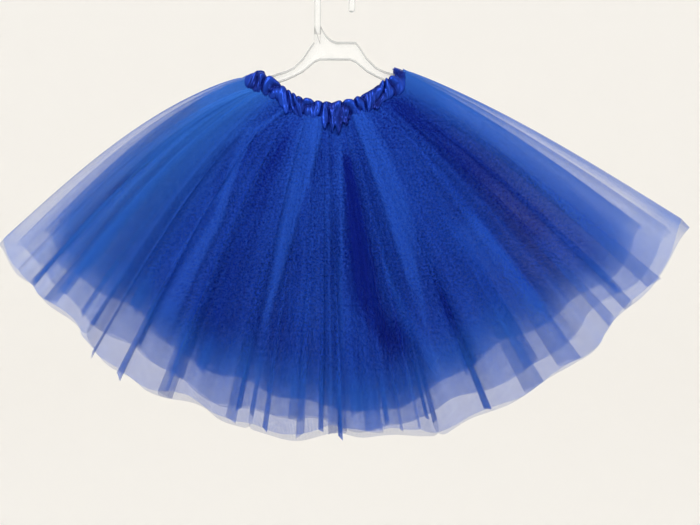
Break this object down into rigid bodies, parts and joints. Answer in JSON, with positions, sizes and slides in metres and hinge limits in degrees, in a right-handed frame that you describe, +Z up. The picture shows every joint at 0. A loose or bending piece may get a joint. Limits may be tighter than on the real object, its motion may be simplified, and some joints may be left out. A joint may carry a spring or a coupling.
{
  "type": "tutu skirt on a hanger",
  "caption": "Layered gathered tulle tutu skirt on a satin-cased elastic waistband, spread as a fan on a clear plastic hanger with a hook.",
  "frame": {"origin": "inside of the hook's crown, where the hanger rests on its rail", "axes": "+Z up, +X along the spread of the skirt to the right of someone facing its front, front of the skirt towards -Y"},
  "size_m": [0.8325, 0.1896, 0.564],
  "materials": {
    "tulle": "fine soft tulle, semi-sheer royal blue with a faint sheen",
    "satin": "shiny royal blue satin, gathered over elastic",
    "clear_plastic": "clear glossy moulded plastic"
  },
  "bodies": {
    "root": {"hanger": "clear_plastic", "waistband_front": "satin", "waistband_back": "satin", "tulle_outer_front": "tulle", "tulle_middle_front": "tulle", "tulle_inner_front": "tulle", "tulle_outer_back": "tulle", "tulle_middle_back": "tulle", "tulle_inner_back": "tulle"}
  },
  "joints": []
}
